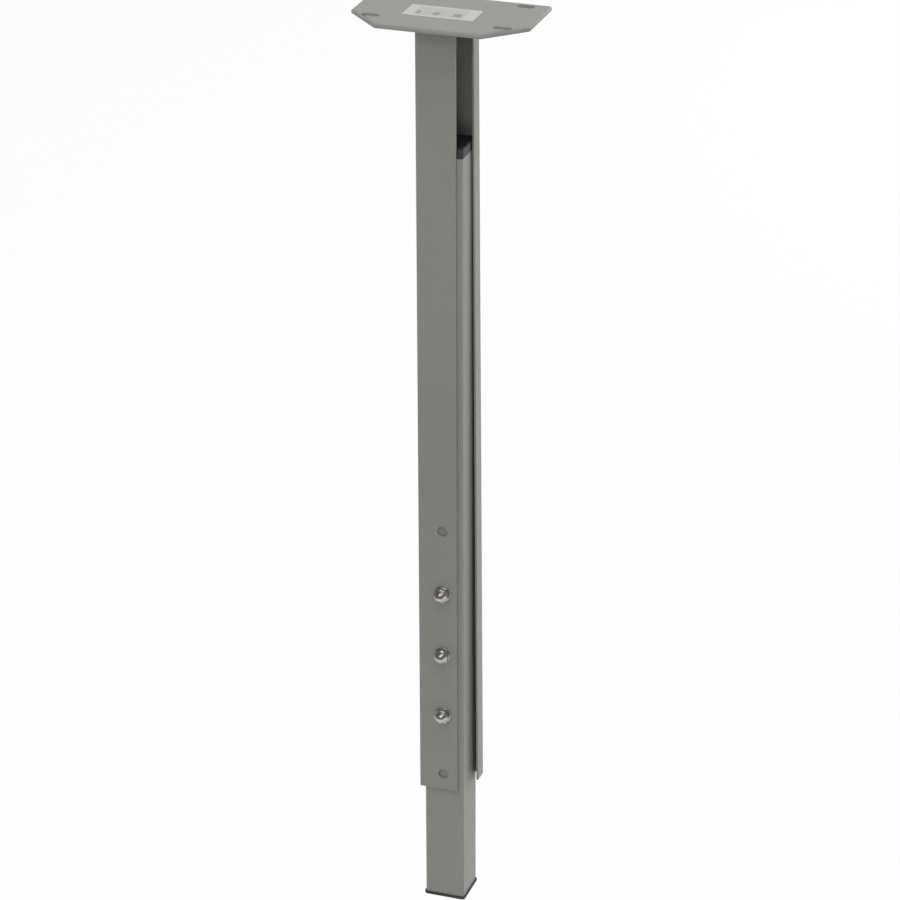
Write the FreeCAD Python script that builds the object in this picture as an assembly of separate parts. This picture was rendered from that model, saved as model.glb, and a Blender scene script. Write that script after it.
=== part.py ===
import FreeCAD, Part
import math
import os

# Adjustable furniture leg in millimetres, +Z up.
# The origin lies on the leg's axis in the upper face of the mounting plate, so the leg hangs along -Z.
# The row of clamp holes faces -Y, and the open side of the outer profile faces +X.

# Mounting plate: four screw slots, and the steel left around them
slot_spacing_x = 94.0
slot_spacing_y = 50.0
slot_length = 13.0
slot_width = 6.0
plate_side_margin = 17.0
plate_front_margin = 18.5
plate_rear_margin = 7.4
plate_corner_margin = 1.2
plate_thickness = 3.0
plate_corner_radius = 2.0
plate_edge_round = 0.6

# Inner tube, square
inner_side = 30.0
inner_wall = 1.5
inner_bend_inside = 0.2

# Gaps between the inner tube and the outer profile, whose open side widens towards its lower end
front_gap = 0.3
rear_gap = 0.9
left_gap = 2.3
right_gap_top = 0.1
right_gap_bottom = 3.6

# Outer profile, bent from strip: front wall, left wall, rear wall and a lip on the right
outer_wall = 1.5
outer_bend_inside = 0.5
outer_length = 596.0
front_opening = 5.7
lip_width = 13.0
cut_edge_round = 0.3
hole_pitch = 50.0
hole_count = 5
lowest_hole_height = 13.0

# Height setting: what shows below the profile, the travel each way, and the room left above the guide
foot_drop = 94.0
travel_up = 40.0
travel_down = 40.0
head_room = 50.6

# Weld seams under the plate
weld_leg = 3.0
weld_end_gap = 1.5

# Plastic foot cap and top guide, each with a spigot in the inner tube
cap_flange_height = 2.2
cap_overhang = 1.0
cap_edge_round = 0.6
guide_head_height = 7.0
guide_corner_radius = 3.0
guide_clearance = 0.3
spigot_length = 18.0
spigot_wall = 2.0
spigot_clearance = 0.1

# Plastic glide pads near the lower end of the outer profile
pad_width = 20.0
pad_height = 30.0
pad_rise = 6.0
pad_clearance = 0.3

# Stud bar inside the inner tube
bar_width = 20.0
bar_thickness = 5.0
bar_end_margin = 15.0
bar_gap = 0.2

# M6 studs with their washers and cap nuts, and how far each nut is turned
stud_diameter = 6.0
stud_hole_clearance = 2.0
stud_fit_clearance = 0.05
stud_tip_chamfer = 0.8
stud_stand_out = 5.0
stud_head_height = 4.0
slide_slot_clearance = 0.3
slide_slot_end_clearance = 0.5
washer_diameter = 12.0
washer_thickness = 1.0
washer_bore_clearance = 0.2
hexagon_across_flats = 10.0
nut_height = 3.8
nut_bore_end_clearance = 0.5
dome_diameter = 9.2
dome_height = 3.5
nut_bevel_inset = 0.3
nut_bevel_degrees = 30.0
nut_turns = {"lower": 8.0, "middle": 22.0, "upper": -14.0}

# Places worked out from the sizes above
inner_half = inner_side / 2
bore_half = inner_half - inner_wall
inner_bend_outside = inner_bend_inside + inner_wall
outer_bend_outside = outer_bend_inside + outer_wall
outer_front = -inner_half - front_gap - outer_wall
outer_rear = inner_half + rear_gap + outer_wall
outer_left = -inner_half - left_gap - outer_wall
outer_right_top = inner_half + right_gap_top + outer_wall
outer_right_bottom = inner_half + right_gap_bottom + outer_wall
free_edge = outer_right_top - front_opening
lip_front = outer_rear - lip_width
plate_bottom = -plate_thickness
outer_bottom = plate_bottom - outer_length
floor_level = outer_bottom - foot_drop
tube_bottom = floor_level + cap_flange_height
tube_top = plate_bottom - head_room - travel_up - guide_head_height
hole_heights = [outer_bottom + lowest_hole_height + index * hole_pitch for index in range(hole_count)]
first_stud_hole = (hole_count - len(nut_turns)) // 2
stud_heights = dict(zip(nut_turns, hole_heights[first_stud_hole:]))
lowest_stud = min(stud_heights.values())
highest_stud = max(stud_heights.values())
stud_radius = stud_diameter / 2
bar_front = -bore_half + bar_gap
bar_rear = bar_front + bar_thickness
washer_face = outer_front - washer_thickness
nut_face = washer_face - nut_height
stud_tip = washer_face - stud_stand_out
nut_bore_end = stud_tip - nut_bore_end_clearance
tolerance = 1e-6


def box(x, y, z):
    """A block between the low and the high value given for each axis."""
    size = [high - low for low, high in (x, y, z)]
    return Part.makeBox(*size, FreeCAD.Vector(x[0], y[0], z[0]))


def upright_edges(shape):
    """The straight edges that run along Z."""
    bounds = [(edge, edge.BoundBox) for edge in shape.Edges]
    return [edge for edge, span in bounds if span.ZLength > max(span.XLength, span.YLength, tolerance)]


def column(x, y, z, radius):
    """A block with its four upright edges rounded."""
    block = box(x, y, z)
    return block.makeFillet(radius, upright_edges(block))


def flared_column(left, rights, y, z, radius):
    """A column whose right side leans: rights gives that side at the lower and at the upper end."""
    outline = [(left, z[0]), (rights[0], z[0]), (rights[1], z[1]), (left, z[1])]
    corners = [FreeCAD.Vector(x, y[0], height) for x, height in outline]
    face = Part.Face(Part.makePolygon(corners + corners[:1]))
    block = face.extrude(FreeCAD.Vector(0, y[1] - y[0], 0))
    return block.makeFillet(radius, upright_edges(block))


def rod(height, y, radius):
    """A round bar along Y in the leg's middle plane."""
    return Part.makeCylinder(radius, y[1] - y[0], FreeCAD.Vector(0, y[0], height), FreeCAD.Vector(0, 1, 0))


def hexagon(height, y, turn):
    """A hexagonal bar along Y in the leg's middle plane, turned about its own axis."""
    corner_radius = hexagon_across_flats / 2 / math.cos(math.pi / 6)
    angles = [math.radians(turn + 60 * corner) for corner in range(6)]
    corners = [
        FreeCAD.Vector(corner_radius * math.cos(angle), y[0], height + corner_radius * math.sin(angle))
        for angle in angles
    ]
    face = Part.Face(Part.makePolygon(corners + corners[:1]))
    return face.extrude(FreeCAD.Vector(0, y[1] - y[0], 0))


def mounting_plate():
    """Flat plate with both front corners cut off and four slots for screws."""
    half = slot_spacing_x / 2 + plate_side_margin
    front = -slot_spacing_y / 2 - plate_front_margin
    rear = slot_spacing_y / 2 + plate_rear_margin
    slot_end = slot_spacing_x / 2 + (slot_length - slot_width) / 2
    cut_line = slot_end + slot_spacing_y / 2 + math.sqrt(2) * (slot_width / 2 + plate_corner_margin)
    corner_cut = half - front - cut_line
    outline = [
        (-half + corner_cut, front),
        (half - corner_cut, front),
        (half, front + corner_cut),
        (half, rear),
        (-half, rear),
        (-half, front + corner_cut),
    ]
    corners = [FreeCAD.Vector(x, y, plate_bottom) for x, y in outline]
    face = Part.Face(Part.makePolygon(corners + corners[:1]))
    plate = face.extrude(FreeCAD.Vector(0, 0, plate_thickness))
    plate = plate.makeFillet(plate_corner_radius, upright_edges(plate))
    rims = [edge for edge in plate.Edges if edge.BoundBox.ZLength < tolerance]
    plate = plate.makeFillet(plate_edge_round, rims)
    for side_x in (-1, 1):
        for side_y in (-1, 1):
            plate = plate.cut(screw_slot(side_x * slot_spacing_x / 2, side_y * slot_spacing_y / 2))
    return plate


def screw_slot(x, y):
    """Round-ended slot through the plate, long along X."""
    radius = slot_width / 2
    ends = (x - slot_length / 2 + radius, x + slot_length / 2 - radius)
    slot = box(ends, (y - radius, y + radius), (plate_bottom, 0))
    for end in ends:
        slot = slot.fuse(Part.makeCylinder(radius, plate_thickness, FreeCAD.Vector(end, y, plate_bottom)))
    return slot


def outer_profile():
    """Open profile: a tube without its front right corner, with the row of clamp holes."""
    height = (outer_bottom, plate_bottom)
    rights = (outer_right_bottom, outer_right_top)
    skin = flared_column(outer_left, rights, (outer_front, outer_rear), height, outer_bend_outside)
    hollow = flared_column(
        outer_left + outer_wall,
        [right - outer_wall for right in rights],
        (outer_front + outer_wall, outer_rear - outer_wall),
        height,
        outer_bend_inside,
    )
    opening = box((free_edge, max(rights)), (outer_front, lip_front), height)
    profile = skin.cut(hollow).cut(opening)
    cut_edges = [edge for edge in upright_edges(profile) if on_cut_edge(edge.CenterOfMass)]
    profile = profile.makeFillet(cut_edge_round, cut_edges)
    front_wall = (outer_front, outer_front + outer_wall)
    for hole_height in hole_heights:
        profile = profile.cut(rod(hole_height, front_wall, stud_radius + stud_hole_clearance / 2))
    return profile


def on_cut_edge(place):
    """True where the strip was cut: at the end of the front wall and at the end of the lip."""
    return abs(place.x - free_edge) < tolerance or abs(place.y - lip_front) < tolerance


def lip_outside(height):
    """Where the lip's outer face stands at a height."""
    share = (plate_bottom - height) / outer_length
    return outer_right_top + share * (outer_right_bottom - outer_right_top)


def weld_seam(corner, outward, along, wall_lean=0):
    """Fillet weld: a triangle under the plate, drawn out along the wall that it joins."""
    toe = corner + outward * wall_lean - FreeCAD.Vector(0, 0, weld_leg)
    corners = [corner, corner + outward * weld_leg, toe]
    return Part.Face(Part.makePolygon(corners + corners[:1])).extrude(along)


def weld_seams():
    """One seam on each outer wall of the profile, clear of its bends and cut edges."""
    across = FreeCAD.Vector(1, 0, 0)
    back = FreeCAD.Vector(0, 1, 0)
    inset = outer_bend_outside + weld_end_gap
    left = outer_left + inset
    front = outer_front + inset
    right = outer_right_top - inset
    rear = outer_rear - inset
    lip = lip_front + weld_end_gap
    front_corner = FreeCAD.Vector(left, outer_front, plate_bottom)
    rear_corner = FreeCAD.Vector(left, outer_rear, plate_bottom)
    left_corner = FreeCAD.Vector(outer_left, front, plate_bottom)
    lip_corner = FreeCAD.Vector(outer_right_top, lip, plate_bottom)
    lip_lean = lip_outside(plate_bottom - weld_leg) - outer_right_top
    return {
        "weld_front": weld_seam(front_corner, -back, across * (free_edge - weld_end_gap - left)),
        "weld_rear": weld_seam(rear_corner, back, across * (right - left)),
        "weld_left": weld_seam(left_corner, -across, back * (rear - front)),
        "weld_lip": weld_seam(lip_corner, across, back * (rear - lip), lip_lean),
    }


def inner_tube():
    """Square tube with a long slot in its front wall, where the studs pass through."""
    side = (-inner_half, inner_half)
    bore = (-bore_half, bore_half)
    height = (tube_bottom, tube_top)
    tube = column(side, side, height, inner_bend_outside)
    tube = tube.cut(column(bore, bore, height, inner_bend_inside))
    return tube.cut(slide_slot())


def slide_slot():
    """Slot as long as the row of studs and the travel both ways."""
    radius = stud_radius + slide_slot_clearance
    wall = (-inner_half, -bore_half)
    ends = (
        lowest_stud - travel_up - slide_slot_end_clearance + slide_slot_clearance,
        highest_stud + travel_down + slide_slot_end_clearance - slide_slot_clearance,
    )
    slot = box((-radius, radius), wall, ends)
    for end in ends:
        slot = slot.fuse(rod(end, wall, radius))
    return slot


def spigot(z):
    """Hollow square socket that fits into an end of the inner tube."""
    half = bore_half - spigot_clearance
    side = (-half, half)
    core = (-half + spigot_wall, half - spigot_wall)
    return column(side, side, z, inner_bend_inside).cut(box(core, core, z))


def foot_cap():
    """Plastic cap under the inner tube: a flange on the floor and a spigot in the tube."""
    side = (-inner_half - cap_overhang, inner_half + cap_overhang)
    flange = column(side, side, (floor_level, tube_bottom), inner_bend_outside + cap_overhang)
    lower_rim = [edge for edge in flange.Edges if edge.BoundBox.ZMax < floor_level + tolerance]
    flange = flange.makeFillet(cap_edge_round, lower_rim)
    return flange.fuse(spigot((tube_bottom, tube_bottom + spigot_length)))


def top_guide():
    """Plastic guide on top of the inner tube: its head runs inside the outer profile."""
    inset = outer_wall + guide_clearance
    narrowest = lip_outside(tube_top + guide_head_height + travel_up)
    head = column(
        (outer_left + inset, narrowest - inset),
        (outer_front + inset, outer_rear - inset),
        (tube_top, tube_top + guide_head_height),
        guide_corner_radius,
    )
    return head.fuse(spigot((tube_top - spigot_length, tube_top)))


def rear_glide_pad():
    """Pad on the rear wall that takes up the gap behind the inner tube."""
    low = outer_bottom + pad_rise
    thickness = (inner_half + pad_clearance, inner_half + rear_gap)
    return box((-pad_width / 2, pad_width / 2), thickness, (low, low + pad_height))


def left_glide_pad():
    """Pad on the left wall that takes up the gap beside the inner tube."""
    low = outer_bottom + pad_rise
    thickness = (-inner_half - left_gap, -inner_half - pad_clearance)
    return box(thickness, (-pad_width / 2, pad_width / 2), (low, low + pad_height))


def stud_bar():
    """Flat bar inside the inner tube that carries the studs."""
    height = (lowest_stud - bar_end_margin, highest_stud + bar_end_margin)
    bar = box((-bar_width / 2, bar_width / 2), (bar_front, bar_rear), height)
    for stud_height in stud_heights.values():
        bar = bar.cut(rod(stud_height, (bar_front, bar_rear), stud_radius + stud_fit_clearance))
    return bar


def clamp_stud(height):
    """Stud with its hexagonal head behind the bar and a bevelled tip inside the nut."""
    shank = rod(height, (stud_tip, bar_rear), stud_radius)
    tip_rim = [edge for edge in shank.Edges if edge.BoundBox.YMax < stud_tip + tolerance]
    shank = shank.makeChamfer(stud_tip_chamfer, tip_rim)
    return shank.fuse(hexagon(height, (bar_rear, bar_rear + stud_head_height), 0))


def clamp_washer(height):
    """Flat washer on the front wall."""
    thickness = (washer_face, outer_front)
    bore = rod(height, thickness, stud_radius + washer_bore_clearance)
    return rod(height, thickness, washer_diameter / 2).cut(bore)


def nut_dome(height):
    """Spherical cap on the front of a nut."""
    ball_radius = ((dome_diameter / 2) ** 2 + dome_height**2) / (2 * dome_height)
    dome_top = nut_face - dome_height
    along = FreeCAD.Vector(0, 1, 0)
    ball = Part.makeSphere(ball_radius, FreeCAD.Vector(0, dome_top + ball_radius, height), along)
    return ball.common(rod(height, (dome_top, nut_face), ball_radius))


def clamp_nut(height, turn):
    """Cap nut: a hexagon with bevelled corners, and a dome over the end of the stud."""
    face_radius = hexagon_across_flats / 2 - nut_bevel_inset
    wide_radius = face_radius + nut_height / math.tan(math.radians(nut_bevel_degrees))
    nut = hexagon(height, (nut_face, washer_face), turn)
    for face, inward in ((nut_face, 1), (washer_face, -1)):
        middle = FreeCAD.Vector(0, face, height)
        cone = Part.makeCone(face_radius, wide_radius, nut_height, middle, FreeCAD.Vector(0, inward, 0))
        nut = nut.common(cone)
    bore = rod(height, (nut_bore_end, washer_face), stud_radius + stud_fit_clearance)
    return nut.fuse(nut_dome(height)).cut(bore)


pieces = {
    "mounting_plate": mounting_plate(),
    "outer_profile": outer_profile(),
    **weld_seams(),
    "rear_glide_pad": rear_glide_pad(),
    "left_glide_pad": left_glide_pad(),
    "stud_bar": stud_bar(),
    "inner_tube": inner_tube(),
    "foot_cap": foot_cap(),
    "top_guide": top_guide(),
}
for name, height in stud_heights.items():
    pieces[f"clamp_stud_{name}"] = clamp_stud(height)
    pieces[f"clamp_washer_{name}"] = clamp_washer(height)
    pieces[f"clamp_nut_{name}"] = clamp_nut(height, nut_turns[name])

os.makedirs("parts", exist_ok=True)
for name, shape in pieces.items():
    shape.removeSplitter().exportStep(f"parts/{name}.step")
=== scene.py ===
import math

import bmesh
import bpy
from mathutils import Matrix, Vector


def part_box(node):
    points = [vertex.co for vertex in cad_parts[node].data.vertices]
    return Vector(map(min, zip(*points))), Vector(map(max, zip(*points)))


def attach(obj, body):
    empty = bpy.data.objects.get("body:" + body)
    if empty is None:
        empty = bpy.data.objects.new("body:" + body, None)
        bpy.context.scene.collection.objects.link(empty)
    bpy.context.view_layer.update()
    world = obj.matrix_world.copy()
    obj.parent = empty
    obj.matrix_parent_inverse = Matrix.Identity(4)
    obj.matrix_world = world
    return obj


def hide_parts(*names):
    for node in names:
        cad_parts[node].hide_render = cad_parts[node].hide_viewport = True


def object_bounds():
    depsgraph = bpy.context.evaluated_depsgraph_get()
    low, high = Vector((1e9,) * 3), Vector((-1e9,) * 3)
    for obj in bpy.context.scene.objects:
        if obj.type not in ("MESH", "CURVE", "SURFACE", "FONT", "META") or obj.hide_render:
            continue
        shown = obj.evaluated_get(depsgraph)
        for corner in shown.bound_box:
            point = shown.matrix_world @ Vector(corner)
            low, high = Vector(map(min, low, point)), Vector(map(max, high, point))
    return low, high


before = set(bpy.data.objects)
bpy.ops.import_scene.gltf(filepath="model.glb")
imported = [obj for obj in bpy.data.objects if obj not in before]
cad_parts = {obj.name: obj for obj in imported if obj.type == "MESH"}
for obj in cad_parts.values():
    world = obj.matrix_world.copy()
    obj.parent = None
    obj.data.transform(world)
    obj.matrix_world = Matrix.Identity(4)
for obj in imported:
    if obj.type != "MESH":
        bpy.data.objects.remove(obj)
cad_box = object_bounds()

# Mounting plate
# Flat steel plate, blanked with both front corners cut off and four slots for screws.
# It is powder coated grey together with the profile that is welded under it.


class Value:
    """A socket in a node tree. Arithmetic on it adds Math nodes."""

    def __init__(self, tree, socket=None):
        self.tree = tree
        self.socket = socket

    def fill(self, node, sockets):
        """Sets a node's sockets to values, or links them."""
        for name, value in sockets.items():
            if isinstance(value, Value):
                self.tree.links.new(value.socket, node.inputs[name])
            else:
                node.inputs[name].default_value = value

    def node(self, kind, settings, sockets, output=0):
        """Adds a node, applies its settings, then fills its sockets."""
        made = self.tree.nodes.new(kind)
        for name, setting in settings.items():
            setattr(made, name, setting)
        self.fill(made, sockets)
        return Value(self.tree, made.outputs[output])

    def math(self, operation, *others):
        """A Math node that has this value first."""
        return self.node("ShaderNodeMath", {"operation": operation}, dict(enumerate((self, *others))))

    def part(self, axis):
        """One of the three numbers of a vector."""
        return self.node("ShaderNodeSeparateXYZ", {}, {0: self}, axis)

    def __add__(self, other):
        return self.math("ADD", other)

    def __sub__(self, other):
        return self.math("SUBTRACT", other)

    def __rsub__(self, other):
        return self.node("ShaderNodeMath", {"operation": "SUBTRACT"}, {0: other, 1: self})

    def __mul__(self, other):
        return self.math("MULTIPLY", other)

    def __truediv__(self, other):
        return self.math("DIVIDE", other)

    def __abs__(self):
        return self.math("ABSOLUTE")

    def __lt__(self, other):
        return self.math("LESS_THAN", other)

    def __gt__(self, other):
        return self.math("GREATER_THAN", other)

    __radd__ = __add__
    __rmul__ = __mul__


def new_finish(name):
    """A new node material: returns it, its tree as a Value, and its object coordinates."""
    material = bpy.data.materials.new(name)
    material.use_nodes = True
    start = Value(material.node_tree)
    return material, start, start.node("ShaderNodeTexCoord", {}, {}, "Object")


def finish_sockets(material, sockets):
    """Sets or links sockets of the material's main shader."""
    Value(material.node_tree).fill(material.node_tree.nodes["Principled BSDF"], sockets)


def noise(start, where, size, detail=2.0):
    """Soft noise from 0 to 1, with lumps about as wide as size."""
    sockets = {"Vector": where, "Scale": 1 / size, "Detail": detail}
    return start.node("ShaderNodeTexNoise", {}, sockets, "Fac")


def mixed(start, factor, low, high):
    """A colour between two, by a factor from 0 to 1."""
    return start.node("ShaderNodeMix", {"data_type": "RGBA"}, {0: factor, 6: low, 7: high}, 2)


def bumped(start, height, depth, strength):
    """A normal that follows a height from 0 to 1, which stands for a depth in metres."""
    sockets = {"Height": height, "Strength": strength, "Distance": depth}
    return start.node("ShaderNodeBump", {}, sockets, "Normal")


def powder_coat():
    """Satin grey powder coat: fine orange peel, and a slight cloudiness in colour and gloss."""
    material, start, where = new_finish("grey_powder_coat")
    cloud = noise(start, where, size=0.03)
    speck = noise(start, where, size=0.0012, detail=4.0)
    wide_peel = noise(start, where, size=0.0016, detail=1.0)
    fine_peel = noise(start, where, size=0.0006, detail=0.0)
    shade = cloud * 0.6 + speck * 0.4
    finish_sockets(material, {
        "Base Color": mixed(start, shade, low=(0.236, 0.236, 0.224, 1), high=(0.272, 0.272, 0.26, 1)),
        "Roughness": 0.42 + cloud * 0.12,
        "Normal": bumped(start, wide_peel + fine_peel * 0.35, depth=0.00006, strength=0.16),
    })
    return material


grey_powder_coat = powder_coat()
plate_low, plate_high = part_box("mounting_plate")
plate_cut = 0.08144
plate_corner = 0.002
plate_upper_round = 0.0016
plate_lower_round = 0.0006
plate_rim = 0.0003
round_steps = 6
slot_from_middle = Vector((0.047, 0.025))
slot_places = [Vector((slot_from_middle.x * x, slot_from_middle.y * y)) for x in (-1, 1) for y in (-1, 1)]
slot_reach = Vector((0.0065, 0.003))
slot_end_flat = 0.00001
edge_crease = 35


def put_on(obj, material):
    """Gives an object one material."""
    obj.data.materials.clear()
    obj.data.materials.append(material)


def placed(name, data):
    """A new object in the scene."""
    made = bpy.data.objects.new(name, data)
    bpy.context.scene.collection.objects.link(made)
    return made


def smooth(mesh, crease_degrees):
    """Shades a mesh smooth, but for edges sharper than the crease."""
    mesh.shade_smooth()
    mesh.set_sharp_from_angle(angle=math.radians(crease_degrees))


def finished(name, shell, material, crease_degrees):
    """An object with the shell's mesh and one material."""
    bmesh.ops.recalc_face_normals(shell, faces=shell.faces)
    mesh = bpy.data.meshes.new(name)
    shell.to_mesh(mesh)
    shell.free()
    smooth(mesh, crease_degrees)
    piece = placed(name, mesh)
    put_on(piece, material)
    return piece


def rounded_rectangle(low, high, radius):
    """Points of a rectangle with round corners, anticlockwise, as pairs."""
    points = []
    corners = ((high[0], high[1]), (low[0], high[1]), (low[0], low[1]), (high[0], low[1]))
    inward = ((-1, -1), (1, -1), (1, 1), (-1, 1))
    for quarter, (corner, way) in enumerate(zip(corners, inward)):
        centre = (corner[0] + way[0] * radius, corner[1] + way[1] * radius)
        for step in range(round_steps + 1):
            angle = math.pi / 2 * (quarter + step / round_steps)
            points.append((centre[0] + radius * math.cos(angle), centre[1] + radius * math.sin(angle)))
    return points


def quarter_round(radius, steps):
    """A round edge from side to face: how far in from the side, and off the face, each step lies."""
    turns = [math.pi / 2 * step / steps for step in range(steps + 1)]
    return [(radius * (1 - math.cos(turn)), radius * (1 - math.sin(turn))) for turn in turns]


def plate_outline(inset):
    """The plate's outline with round corners, anticlockwise, drawn in by an inset."""
    side, front, rear = plate_high.x, plate_low.y, plate_high.y
    right = [(plate_cut + front, front), (side, side - plate_cut), (side, rear)]
    corners = [Vector(point) for point in right + [(-x, y) for x, y in reversed(right)]]
    points = []
    for index, corner in enumerate(corners):
        before = (corner - corners[index - 1]).normalized()
        after = (corners[(index + 1) % len(corners)] - corner).normalized()
        outward, next_outward = Vector((before.y, -before.x)), Vector((after.y, -after.x))
        centre = corner - (outward + next_outward) * plate_corner / (1 + outward.dot(next_outward))
        for step in range(round_steps + 1):
            turned = outward.slerp(next_outward, step / round_steps)
            points.append(centre + turned * (plate_corner - inset))
    return points


def slotted_plate():
    """The plate with a round upper edge, as blanking and the thick coat leave it."""
    section = [(plate_lower_round + plate_rim, plate_low.z)]
    section += [(inset, plate_low.z + rise) for rise, inset in quarter_round(plate_lower_round, round_steps)]
    section += [(inset, plate_high.z - drop) for inset, drop in quarter_round(plate_upper_round, round_steps)]
    section.append((plate_upper_round + plate_rim, plate_high.z))
    shell = bmesh.new()

    def ring(points, level):
        return [shell.verts.new((*point, level)) for point in points]

    def wall(first, second):
        for index, vertex in enumerate(first):
            shell.faces.new((first[index - 1], vertex, second[index], second[index - 1]))

    rings = [ring(plate_outline(inset), level) for inset, level in section]
    for first, second in zip(rings, rings[1:]):
        wall(first, second)
    lower_rims, upper_rims = [rings[0]], [rings[-1]]
    for place in slot_places:
        outline = rounded_rectangle(place - slot_reach, place + slot_reach, slot_reach.y - slot_end_flat)
        lower, upper = ring(outline, plate_low.z), ring(outline, plate_high.z)
        wall(lower, upper)
        lower_rims.append(lower)
        upper_rims.append(upper)
    for rims in (lower_rims, upper_rims):
        sides = [(rim[index - 1], vertex) for rim in rims for index, vertex in enumerate(rim)]
        edges = [shell.edges.get(side) for side in sides]
        bmesh.ops.triangle_fill(shell, edges=edges, use_beauty=True)
    return finished("slotted_plate", shell, grey_powder_coat, edge_crease)


plate = slotted_plate()
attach(plate, "outer")
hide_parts("mounting_plate")

# Plate label
# Paper sticker on the plate's upper face, printed with empty fields.
# It is die cut with rounded corners and lies flat on the coat.
label_size = Vector((0.051, 0.023))
label_middle = Vector((-0.0023, -0.0055))
label_thickness = 0.00012
label_corner = 0.0012
field_size = Vector((0.036, 0.018))
field_shift = 0.001
field_ink = 0.2
bar_middles_and_widths = ((-0.0159, 0.0028), (-0.0032, 0.0048), (0.0119, 0.0062))
bar_drop = 0.0036
bar_height = 0.0065
bar_ink = 0.5


def skinned(name, rings, material, hoop=False, crease_degrees=edge_crease):
    """A closed mesh through rings of points. One point closes an end, and a hoop joins last to first."""
    shell = bmesh.new()
    loops = [[shell.verts.new(point) for point in ring] for ring in rings]
    following = loops[1:] + loops[:1] if hoop else loops[1:]
    for first, second in zip(loops, following):
        for index in range(max(len(first), len(second))):
            corners = [first[index % len(first)], first[(index + 1) % len(first)]]
            corners += [second[(index + 1) % len(second)], second[index % len(second)]]
            shell.faces.new(list(dict.fromkeys(corners)))
    return finished(name, shell, material, crease_degrees)


def label_paper():
    """Matt pale paper with a greyer field and three small grey bars, all without words."""
    material, start, where = new_finish("label_paper")
    across = where.part("X") - label_middle.x
    along = where.part("Y") - label_middle.y
    fibre = noise(start, where, size=0.0009, detail=3.0)
    field = (abs(across + field_shift) < field_size.x / 2) * (abs(along) < field_size.y / 2)
    ink = field * field_ink
    for middle, width in bar_middles_and_widths:
        inside = (abs(across - middle) < width / 2) * (abs(along + bar_drop) < bar_height / 2)
        ink = ink + inside * bar_ink
    paper = mixed(start, fibre, low=(0.52, 0.52, 0.505, 1), high=(0.58, 0.58, 0.565, 1))
    finish_sockets(material, {
        "Base Color": mixed(start, ink, low=paper, high=(0.2, 0.2, 0.19, 1)),
        "Roughness": 0.62 + fibre * 0.2,
        "Normal": bumped(start, fibre, depth=0.00002, strength=0.2),
    })
    return material


label_outline = rounded_rectangle(label_middle - label_size / 2, label_middle + label_size / 2, label_corner)
label_levels = (plate_high.z, plate_high.z + label_thickness)
label_rings = [[(x, y, level) for x, y in label_outline] for level in label_levels]
label_ends = [[(*label_middle, level)] for level in label_levels]
label = skinned("plate_label", [label_ends[0], *label_rings, label_ends[1]], label_paper())
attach(label, "outer")

# Outer profile
# Open profile bent from 1.5 mm strip: front wall, left wall, rear wall and a short lip on the right.
# A row of five punched holes in the front wall takes the clamp studs.
put_on(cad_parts["outer_profile"], grey_powder_coat)

# Weld seams
# Fillet welds under the plate, one on each outer wall of the profile, with the ripples of a hand-led torch.
# They were laid before coating, so the same grey covers them.
ripple_pitch = 0.0016
ripple_depth = 0.14
ripple_points = 6
wander_scale = 400
wander_share = 0.8
end_sharpness = 14.0
end_taper = 0.4
bead_points = 7
bead_crease = 40
seam_names = ("weld_front", "weld_lip", "weld_rear", "weld_left")
front_low, front_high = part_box("weld_front")
lip_low, lip_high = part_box("weld_lip")
rear_low, rear_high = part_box("weld_rear")
left_low, left_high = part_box("weld_left")
weld_top = front_high.z
weld_leg = front_high.y - front_low.y
seam_paths = (
    ((front_low.x, front_high.y, weld_top), (front_high.x, front_high.y, weld_top)),
    ((lip_low.x, lip_low.y, weld_top), (lip_low.x, lip_high.y, weld_top)),
    ((rear_high.x, rear_low.y, weld_top), (rear_low.x, rear_low.y, weld_top)),
    ((left_high.x, left_high.y, weld_top), (left_high.x, left_low.y, weld_top)),
)


def new_tree(name, inputs):
    """A geometry tree with named number inputs: returns it, its inputs as Values and their identifiers."""
    tree = bpy.data.node_groups.new(name, "GeometryNodeTree")
    tree.interface.new_socket(name="Geometry", in_out="INPUT", socket_type="NodeSocketGeometry")
    tree.interface.new_socket(name="Geometry", in_out="OUTPUT", socket_type="NodeSocketGeometry")
    names = {}
    for title in inputs:
        socket = tree.interface.new_socket(name=title, in_out="INPUT", socket_type="NodeSocketFloat")
        names[title] = socket.identifier
    entry = tree.nodes.new("NodeGroupInput")
    values = {title: Value(tree, entry.outputs[title]) for title in ("Geometry", *inputs)}
    return tree, values, names


def end_tree(tree, shape, material):
    """Makes the shape real, gives it its material and hands it out."""
    real = shape.node("GeometryNodeRealizeInstances", {}, {0: shape})
    dressed = shape.node("GeometryNodeSetMaterial", {}, {"Geometry": real, "Material": material})
    tree.links.new(dressed.socket, tree.nodes.new("NodeGroupOutput").inputs[0])


def plain_mesh(name, points, edges, faces):
    """A mesh through given points."""
    mesh = bpy.data.meshes.new(name)
    mesh.from_pydata(points, edges, faces)
    return mesh


def grown(name, points, edges, tree, settings, crease_degrees):
    """A plain mesh that a geometry tree grows on points or lines."""
    piece = placed(name, plain_mesh(name, points, edges, []))
    modifier = piece.modifiers.new(name, "NODES")
    modifier.node_group = tree
    for identifier, number in settings.items():
        modifier[identifier] = number
    evaluated = piece.evaluated_get(bpy.context.evaluated_depsgraph_get())
    mesh = bpy.data.meshes.new_from_object(evaluated)
    piece.modifiers.clear()
    piece.data = mesh
    smooth(mesh, crease_degrees)
    return piece


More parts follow.
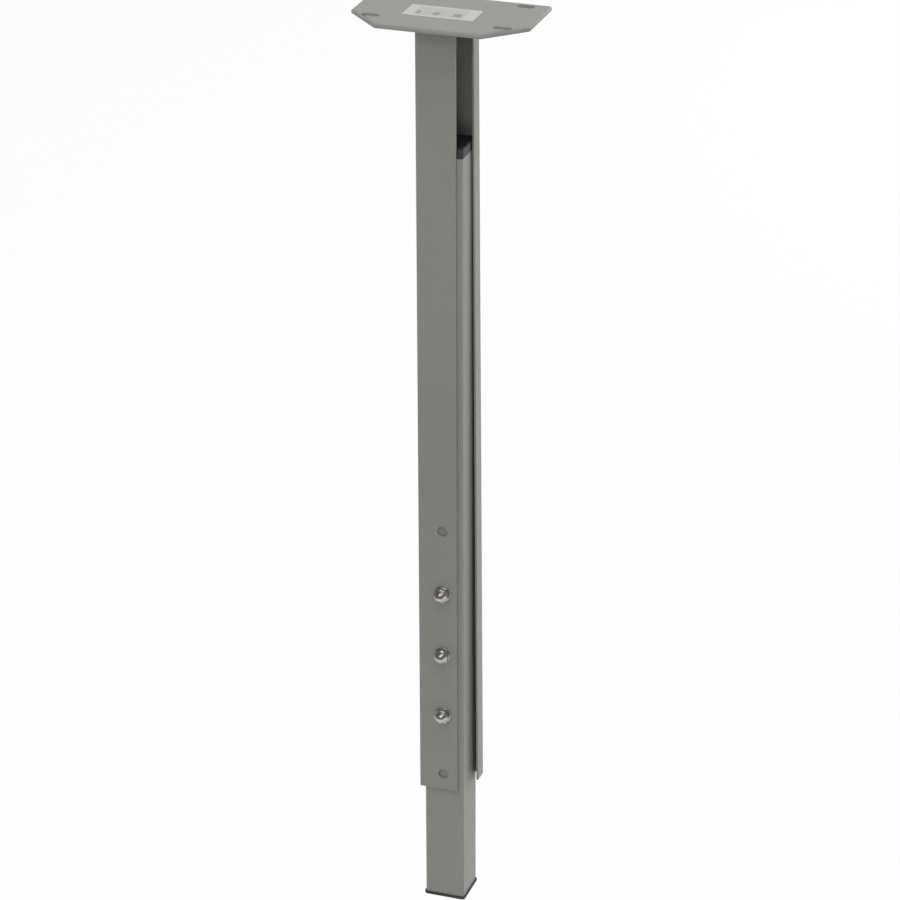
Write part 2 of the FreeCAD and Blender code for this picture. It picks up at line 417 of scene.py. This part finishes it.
def weld_tree():
    """A rippled quarter-round bead along each line, on its right-hand side and below it."""
    tree, given, names = new_tree("weld_bead", ("Leg", "Ripple pitch", "Ripple depth"))
    line = given["Geometry"].node("GeometryNodeMeshToCurve", {}, {0: given["Geometry"]})
    spacing = {"Curve": line, "Length": ripple_pitch / ripple_points}
    line = line.node("GeometryNodeResampleCurve", {"mode": "LENGTH"}, spacing)
    line = line.node("GeometryNodeSetCurveNormal", {"mode": "Z_UP"}, {"Curve": line})
    run = line.node("GeometryNodeSplineParameter", {}, {}, "Length")
    share = line.node("GeometryNodeSplineParameter", {}, {}, "Factor")
    along = {"W": run * wander_scale, "Detail": 1.0}
    wander = line.node("ShaderNodeTexNoise", {"noise_dimensions": "1D"}, along, "Fac")
    hollow = (run / given["Ripple pitch"] + wander * wander_share).math("FRACT") * 2 - 1
    end = abs(share * 2 - 1).math("POWER", end_sharpness)
    girth = (1 - hollow * hollow * given["Ripple depth"]) * (1 - end * end_taper)
    quarter = {"Resolution": bead_points, "Radius": given["Leg"], "Start Angle": 0.0, "Sweep Angle": math.pi / 2}
    bead = line.node("GeometryNodeCurveArc", {"mode": "RADIUS"}, {**quarter, "Connect Center": True})
    sweep = {"Curve": line, "Profile Curve": bead, "Scale": girth, "Fill Caps": True}
    end_tree(tree, line.node("GeometryNodeCurveToMesh", {}, sweep), grey_powder_coat)
    sizes = {"Leg": weld_leg, "Ripple pitch": ripple_pitch, "Ripple depth": ripple_depth}
    return tree, {names[title]: number for title, number in sizes.items()}


seam_points = [point for path in seam_paths for point in path]
seam_edges = [(2 * index, 2 * index + 1) for index in range(len(seam_paths))]
weld_beads = grown("weld_beads", seam_points, seam_edges, *weld_tree(), bead_crease)
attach(weld_beads, "outer")
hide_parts(*seam_names)

# Glide pads
# Two thin plastic pads stuck to the rear and left walls near the profile's lower end.
# They are punched from sheet, with round corners and a soft edge towards the tube.
pad_corner = 0.003
pad_soft_edge = 0.0004
pad_edge_middle = 0.3


def black_plastic():
    """Matt black moulded plastic with a fine spark-eroded grain."""
    material, start, where = new_finish("black_plastic")
    grain = noise(start, where, size=0.0005, detail=3.0)
    bloom = noise(start, where, size=0.012)
    finish_sockets(material, {
        "Base Color": mixed(start, bloom, low=(0.016, 0.016, 0.017, 1), high=(0.03, 0.03, 0.031, 1)),
        "Roughness": 0.42 + bloom * 0.16,
        "Normal": bumped(start, grain, depth=0.00004, strength=0.3),
    })
    return material


moulded_black = black_plastic()


def glide_pad(node, normal_axis, slide_side):
    """A pad whose soft edge faces along one axis, on the low or the high side."""
    low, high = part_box(node)
    flat = [axis for axis in range(3) if axis != normal_axis]
    back, face = (high, low) if slide_side < 0 else (low, high)
    halfway = pad_soft_edge * pad_edge_middle
    layers = (
        (back[normal_axis], 0.0),
        (face[normal_axis] - slide_side * pad_soft_edge, 0.0),
        (face[normal_axis] - slide_side * halfway, halfway),
        (face[normal_axis], pad_soft_edge),
    )
    rings = []
    for level, inset in layers:
        inner_low = [low[axis] + inset for axis in flat]
        inner_high = [high[axis] - inset for axis in flat]
        ring = []
        for pair in rounded_rectangle(inner_low, inner_high, pad_corner - inset):
            point = Vector()
            point[normal_axis] = level
            point[flat[0]], point[flat[1]] = pair
            ring.append(point)
        rings.append(ring)
    ends = [[sum(ring, Vector()) / len(ring)] for ring in (rings[0], rings[-1])]
    pad = skinned(f"{node}_moulding", [ends[0], *rings, ends[1]], moulded_black)
    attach(pad, "outer")
    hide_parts(node)


glide_pad("rear_glide_pad", 1, -1)
glide_pad("left_glide_pad", 0, 1)

# Inner tube
# Welded square steel tube, coated in the same grey, that slides in the profile.
# A long slot in its front wall lets the studs pass.
put_on(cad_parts["inner_tube"], grey_powder_coat)

# Foot cap
# Black moulding pressed into the lower end of the inner tube, with a thin flange on the floor.
# Its underside is dished, so it stands on a rim, and a hollow spigot holds it in the tube.
cap_low, cap_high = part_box("foot_cap")
tube_low, tube_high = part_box("inner_tube")
cap_corner = 0.0027
cap_rim = 0.004
cap_dish = 0.0006
cap_dish_corner = 0.0017
cap_round = 0.0006
cap_bevel = 0.0002
edge_steps = 4
spigot_inset = 0.0016
spigot_half = tube_high.x - spigot_inset
spigot_low, spigot_high = (-spigot_half, -spigot_half), (spigot_half, spigot_half)
spigot_wall = 0.002
spigot_corner = 0.0006
spigot_lead = 0.001
spigot_taper = 0.0005
spigot_hollow_corner = 0.0004


def square_ring(low, high, inset, corner, level):
    """A rounded rectangle at a height, inset from two corners."""
    near = (low[0] + inset, low[1] + inset)
    far = (high[0] - inset, high[1] - inset)
    return [(x, y, level) for x, y in rounded_rectangle(near, far, corner)]


def spigot(root, tip):
    """Rings of the hollow plug in the tube: along its outside, over its end and back along its inside."""
    lead = tip - math.copysign(spigot_lead, tip - root)
    sections = (
        (0.0, spigot_corner, root),
        (0.0, spigot_corner, lead),
        (spigot_taper, spigot_corner - spigot_taper, tip),
        (spigot_wall, spigot_hollow_corner, tip),
        (spigot_wall, spigot_hollow_corner, root),
    )
    return [square_ring(spigot_low, spigot_high, *section) for section in sections] + [[(0, 0, root)]]


dish_level = cap_low.z + cap_dish
cap_shape = [
    [(0, 0, dish_level)],
    square_ring(cap_low, cap_high, cap_rim + cap_dish, cap_dish_corner, dish_level),
    square_ring(cap_low, cap_high, cap_rim, cap_corner, cap_low.z),
]
for rise, inset in quarter_round(cap_round, edge_steps):
    cap_shape.append(square_ring(cap_low, cap_high, inset, cap_corner - inset, cap_low.z + rise))
cap_shape += [
    square_ring(cap_low, cap_high, 0.0, cap_corner, tube_low.z - cap_bevel),
    square_ring(cap_low, cap_high, cap_bevel, cap_corner - cap_bevel, tube_low.z),
    *spigot(tube_low.z, cap_high.z),
]
cap = skinned("foot_cap_moulding", cap_shape, moulded_black)
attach(cap, "inner")
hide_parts("foot_cap")

# Top guide
# Black moulding pressed into the upper end of the inner tube. Its head fills the profile and guides the tube.
# The head has soft edges and a shallow dish on top, left by the mould's ejector plate.
guide_low, guide_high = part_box("top_guide")
guide_corner = 0.003
guide_bevel = 0.0003
guide_round = 0.0008
guide_rim = 0.003
guide_rim_corner = 0.002
guide_dish = 0.0006
guide_middle = (guide_low + guide_high) / 2
guide_dish_level = guide_high.z - guide_dish
guide_shape = [
    *reversed(spigot(tube_high.z, guide_low.z)),
    square_ring(guide_low, guide_high, guide_bevel, guide_corner - guide_bevel, tube_high.z),
    square_ring(guide_low, guide_high, 0.0, guide_corner, tube_high.z + guide_bevel),
]
for inset, drop in quarter_round(guide_round, edge_steps):
    guide_shape.append(square_ring(guide_low, guide_high, inset, guide_corner - inset, guide_high.z - drop))
guide_shape += [
    square_ring(guide_low, guide_high, guide_rim, guide_rim_corner, guide_high.z),
    square_ring(guide_low, guide_high, guide_rim + guide_dish, guide_rim_corner - guide_dish, guide_dish_level),
    [(guide_middle.x, guide_middle.y, guide_dish_level)],
]
guide = skinned("top_guide_moulding", guide_shape, moulded_black)
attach(guide, "inner")
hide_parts("top_guide")

# Stud bar
# Flat steel bar inside the inner tube, cut from strip and zinc plated.
# The studs are pressed into it from behind, so that the nuts draw it against the tube's front wall.


def zinc_plate():
    """Bright zinc plate: slightly uneven gloss and fine rolling marks."""
    material, start, where = new_finish("zinc_plate")
    tarnish = noise(start, where, size=0.004, detail=3.0)
    scratch = noise(start, where, size=0.0004)
    finish_sockets(material, {
        "Base Color": mixed(start, tarnish, low=(0.47, 0.455, 0.415, 1), high=(0.6, 0.58, 0.535, 1)),
        "Metallic": 1.0,
        "Roughness": 0.24 + tarnish * 0.14,
        "Normal": bumped(start, scratch, depth=0.00003, strength=0.1),
    })
    return material


bright_zinc = zinc_plate()
put_on(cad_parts["stud_bar"], bright_zinc)

# Clamp studs
# M6 steel studs, zinc plated, with a rolled thread and a hexagonal head behind the bar.
# Their tips end inside the cap nuts.
stud_places = ("upper", "middle", "lower")
thread_pitch = 0.001
thread_depth = 0.0006
thread_steps = 8
stud_diameter = 0.006
stud_sides = 36
stud_tip_bevel = 0.0008
stud_crease = 50
head_flats = 0.01
stud_low, stud_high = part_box("clamp_stud_middle")
bar_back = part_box("stud_bar")[1].y
head_height = stud_high.y - bar_back
shank_length = bar_back - stud_low.y


def hexagon_corner(flats):
    """How far a hexagon's corners lie from its middle."""
    return flats / 2 / math.cos(math.pi / 6)


def stud_tree():
    """A threaded shank and its head on each point, along -Y from the back of the bar."""
    tree, given, names = new_tree("clamp_stud", ("Shank", "Pitch", "Depth", "Head"))
    places = given["Geometry"]
    turns = round(shank_length / thread_pitch)
    size = {"Vertices": stud_sides, "Side Segments": turns * thread_steps}
    size |= {"Radius": stud_diameter / 2, "Depth": given["Shank"]}
    rod = places.node("GeometryNodeMeshCylinder", {}, size)
    where = places.node("GeometryNodeInputPosition", {}, {})
    angle = where.part("Y").math("ARCTAN2", where.part("X"))
    helix = where.part("Z") / given["Pitch"] - angle / (2 * math.pi)
    flank = abs(helix.math("FRACT") * 2 - 1)
    tip = (where.part("Z") - given["Shank"] / 2 + stud_tip_bevel).math("MAXIMUM", 0.0)
    sink = (flank * given["Depth"]).math("MAXIMUM", tip)
    keep = 1 - sink / (stud_diameter / 2)
    thinner = places.node("ShaderNodeCombineXYZ", {}, {0: keep, 1: keep, 2: 1.0})
    moved = places.node("ShaderNodeVectorMath", {"operation": "MULTIPLY"}, {0: where, 1: thinner})
    thread = places.node("GeometryNodeSetPosition", {}, {"Geometry": rod, "Position": moved})
    lift = places.node("ShaderNodeCombineXYZ", {}, {2: given["Shank"] / 2})
    thread = places.node("GeometryNodeTransform", {}, {"Geometry": thread, "Translation": lift})
    hexagon = {"Vertices": 6, "Radius": hexagon_corner(head_flats), "Depth": given["Head"]}
    head = places.node("GeometryNodeMeshCylinder", {}, hexagon)
    drop = places.node("ShaderNodeCombineXYZ", {}, {2: given["Head"] * -0.5})
    head = places.node("GeometryNodeTransform", {}, {"Geometry": head, "Translation": drop})
    whole = places.node("GeometryNodeJoinGeometry", {}, {0: thread})
    tree.links.new(head.socket, whole.socket.node.inputs[0])
    forward = {"Points": places, "Instance": whole, "Rotation": (math.pi / 2, 0.0, 0.0)}
    end_tree(tree, places.node("GeometryNodeInstanceOnPoints", {}, forward), bright_zinc)
    sizes = {"Shank": shank_length, "Pitch": thread_pitch, "Depth": thread_depth, "Head": head_height}
    return tree, {names[title]: number for title, number in sizes.items()}


stud_axes = {}
for place in stud_places:
    low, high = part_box(f"clamp_nut_{place}")
    stud_axes[place] = (low + high) / 2
stud_nodes = [f"clamp_stud_{place}" for place in stud_places]
stud_points = [(stud_axes[place].x, bar_back, stud_axes[place].z) for place in stud_places]
studs = grown("clamp_studs", stud_points, [], *stud_tree(), stud_crease)
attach(studs, "outer")
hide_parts(*stud_nodes)

# Washers
# Flat steel washers between the nuts and the front wall, stamped and zinc plated.
# The die leaves their outer edge round on the side of the nut.
washer_bore = 0.0032
washer_round = 0.0004
circle_steps = 72


def circle(axis, level, radius_at):
    """Points around a stud's axis at a depth along Y, with a radius for each angle."""
    points = []
    for step in range(circle_steps):
        angle = 2 * math.pi * step / circle_steps
        radius = radius_at(angle)
        points.append((axis.x + radius * math.cos(angle), level, axis.z + radius * math.sin(angle)))
    return points


def round_ring(axis, radius, level):
    """Points around a stud's axis, all at one radius."""
    return circle(axis, level, lambda angle: radius)


for place in stud_places:
    low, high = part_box(f"clamp_washer_{place}")
    rim = (high.z - low.z) / 2
    section = [(washer_bore, high.y), (rim, high.y)]
    section += [(rim - inset, low.y + rise) for inset, rise in quarter_round(washer_round, edge_steps)]
    section += [(washer_bore + washer_round / 2, low.y), (washer_bore, low.y + washer_round / 2)]
    rings = [round_ring(stud_axes[place], radius, level) for radius, level in section]
    washer = skinned(f"washer_{place}_ring", rings, bright_zinc, hoop=True)
    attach(washer, f"washer_{place}")
    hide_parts(f"clamp_washer_{place}")

# Cap nuts
# Low steel cap nuts, cold formed and zinc plated: a hexagon with bevelled corners, and a dome over the stud's end.
# Each stopped at its own angle when it was tightened. A small gap keeps its seat and its washer's face apart here.
nut_flats = 0.01
nut_hexagon = 0.0038
nut_bevel_inset = 0.0003
nut_bevel_slope = math.tan(math.radians(30))
nut_corner_round = 0.00012
nut_bore = 0.00305
nut_bore_depth = 0.0055
nut_bore_bevel = 0.0004
nut_seat_gap = 0.00002
nut_crease = 20
nut_turns = {"lower": 8.0, "middle": 22.0, "upper": -14.0}
dome_base = 0.0046
dome_rise = 0.0035
dome_foot = 0.00005
dome_steps = 14


def cap_nut(place):
    """The nut's rings, from the bottom of its bore, over the hexagon, to the top of the dome."""
    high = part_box(f"clamp_nut_{place}")[1]
    axis = stud_axes[place]
    seat = high.y - nut_seat_gap
    face = high.y - nut_hexagon
    corner = hexagon_corner(nut_flats) - nut_corner_round
    flat_circle = nut_flats / 2 - nut_bevel_inset

    def hexagon(angle):
        sector = (angle - math.radians(nut_turns[place])) % (math.pi / 3) - math.pi / 6
        return min(nut_flats / 2 / math.cos(sector), corner)

    def bevelled(level, inward):
        """The ring where the bevel meets the flats, lower at the corners."""
        points = []
        for x, y, z in circle(axis, level, hexagon):
            depth = (math.hypot(x - axis.x, z - axis.z) - flat_circle) * nut_bevel_slope
            points.append((x, y + inward * depth, z))
        return points

    rings = [
        [(axis.x, seat - nut_bore_depth, axis.z)],
        round_ring(axis, nut_bore, seat - nut_bore_depth),
        round_ring(axis, nut_bore, seat - nut_bore_bevel),
        round_ring(axis, nut_bore + nut_bore_bevel, seat),
        round_ring(axis, flat_circle, seat),
        bevelled(seat, -1),
        bevelled(face, 1),
        round_ring(axis, flat_circle, face),
        round_ring(axis, dome_base + dome_foot, face),
    ]
    ball = (dome_base**2 + dome_rise**2) / (2 * dome_rise)
    widest = math.asin(dome_base / ball)
    for step in range(dome_steps):
        turn = widest * (1 - step / dome_steps)
        rings.append(round_ring(axis, ball * math.sin(turn), face - dome_rise + ball * (1 - math.cos(turn))))
    rings.append([(axis.x, face - dome_rise, axis.z)])
    return rings


for place in stud_places:
    nut = skinned(f"cap_nut_{place}", cap_nut(place), bright_zinc, crease_degrees=nut_crease)
    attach(nut, f"nut_{place}")
    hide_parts(f"clamp_nut_{place}")

# Floor
# A plain white floor that keeps a faint shadow of the leg.
# It lies where the foot comes to when the leg is drawn out to its full length.
draw_out = 0.04
floor_level = cap_low.z - draw_out
floor_half = 12.0
floor_whiteness = 0.96
floor_corners = [(x * floor_half, y * floor_half, floor_level) for x, y in ((-1, -1), (1, -1), (1, 1), (-1, 1))]
floor = placed("floor", plain_mesh("floor", floor_corners, [], [(0, 1, 2, 3)]))


def ray(start, kind):
    """1 for rays of a kind, and 0 for others."""
    return start.node("ShaderNodeLightPath", {}, {}, f"Is {kind} Ray")


def white_floor():
    """White paint that the camera, reflections and glass show mostly as plain white."""
    material, start = new_finish("white_floor")[:2]
    finish_sockets(material, {"Base Color": (0.6, 0.6, 0.6, 1), "Roughness": 0.9, "Specular IOR Level": 0.0})
    nodes = material.node_tree.nodes
    painted = Value(material.node_tree, nodes["Principled BSDF"].outputs[0])
    white = start.node("ShaderNodeEmission", {}, {"Color": (1, 1, 1, 1), "Strength": 1.0})
    seen = ray(start, "Camera") + ray(start, "Glossy") + ray(start, "Transmission")
    surface = start.node("ShaderNodeMixShader", {}, {0: seen * floor_whiteness, 1: painted, 2: white})
    start.fill(nodes["Material Output"], {"Surface": surface})
    return material


put_on(floor, white_floor())

# Studio light
# Soft boxes light the leg from behind, from both sides, from the front and from above, and a small one fills in low.
# Bright metal mirrors only two of them, the white backdrop, and a dark card that stands for the room in front.
scene = bpy.context.scene
scene.view_settings.view_transform = "Standard"
middle = (cad_box[0] + cad_box[1]) / 2


def soft_box(name, azimuth, elevation, distance, size, power, mirrored):
    """A soft box that faces the leg. Its azimuth is 0 in front of the leg and 90 on its right."""
    turn, rise = math.radians(azimuth), math.radians(elevation)
    outward = Vector((math.sin(turn) * math.cos(rise), -math.cos(turn) * math.cos(rise), math.sin(rise)))
    light = bpy.data.lights.new(name, "AREA")
    light.shape = "RECTANGLE"
    light.size, light.size_y = size
    light.energy = power
    lamp = placed(name, light)
    lamp.location = middle + outward * distance
    lamp.rotation_euler = (-outward).to_track_quat("-Z", "Y").to_euler()
    lamp.visible_camera = False
    lamp.visible_glossy = mirrored


soft_box("soft_box_rear_right", azimuth=161, elevation=12, distance=2.6, size=(1.7, 1.7), power=78, mirrored=False)
soft_box("soft_box_right", azimuth=75, elevation=18, distance=2.8, size=(1.6, 1.6), power=8.5, mirrored=False)
soft_box("soft_box_above", azimuth=0, elevation=78, distance=2.8, size=(2.4, 2.4), power=36, mirrored=False)
soft_box("soft_box_front", azimuth=-4, elevation=34, distance=2.8, size=(1.7, 0.9), power=15, mirrored=True)
soft_box("soft_box_left", azimuth=-80, elevation=20, distance=2.8, size=(1.4, 1.4), power=16, mirrored=False)
soft_box("soft_box_top", azimuth=42, elevation=62, distance=2.6, size=(1.8, 1.8), power=12, mirrored=True)
soft_box("floor_fill", azimuth=20, elevation=-8, distance=1.5, size=(0.8, 0.3), power=2.8, mirrored=False)

room_strength = 0.12
backdrop_start = 0.35


def room_light():
    """A dim room with a white backdrop behind the leg. The camera sees plain white all round."""
    room = bpy.data.worlds.new("room")
    room.use_nodes = True
    start = Value(room.node_tree)
    backward = start.node("ShaderNodeTexCoord", {}, {}, "Generated").part("Y")
    backdrop = ray(start, "Glossy") * (backward > backdrop_start)
    seen = ray(start, "Camera") + ray(start, "Transmission") + backdrop
    strength = room_strength + seen * (1 - room_strength)
    start.fill(room.node_tree.nodes["Background"], {"Color": (1, 1, 1, 1), "Strength": strength})
    return room


scene.world = room_light()

# A grey card that only reflections see: a painted dark reflection of the room in front, on the nuts and other bright
# metal.
card_radius = 0.5
card_top = -0.36
card_from, card_to, card_steps = math.radians(-110), math.radians(45), 24
card_points = []
for step in range(card_steps + 1):
    turn = card_from + (card_to - card_from) * step / card_steps
    for level in (floor_level, card_top):
        card_points.append((card_radius * math.sin(turn), -card_radius * math.cos(turn), level))
card_faces = [(2 * step, 2 * step + 1, 2 * step + 3, 2 * step + 2) for step in range(card_steps)]
card = placed("grey_card", plain_mesh("grey_card", card_points, [], card_faces))
card_grey = new_finish("card_grey")[0]
finish_sockets(card_grey, {"Base Color": (0.16, 0.16, 0.155, 1), "Roughness": 0.8})
put_on(card, card_grey)
card.visible_camera = False
card.visible_diffuse = False
card.visible_shadow = False
card.visible_transmission = False

# Camera
# A long lens from the front right, looking down on the leg.
# Its place and its slight roll were fitted to the leg's edges.
azimuth = math.radians(19.097)
elevation = math.radians(24.749)
roll = math.radians(-0.185)
distance = 2.5921
aim = Vector((0.00019, 0.0, -0.32841))
level_way = Vector((math.sin(azimuth), -math.cos(azimuth), 0.0)) * math.cos(elevation)
backward = level_way + Vector((0.0, 0.0, math.sin(elevation)))
camera = placed("camera", bpy.data.cameras.new("camera"))
camera.data.lens = 144.64
camera.data.sensor_width = 36.0
camera.data.clip_end = 100.0
camera.location = aim + backward * distance
turn = (-backward).to_track_quat("-Z", "Y").to_matrix() @ Matrix.Rotation(roll, 3, "Z")
camera.rotation_euler = turn.to_euler()
scene.camera = camera
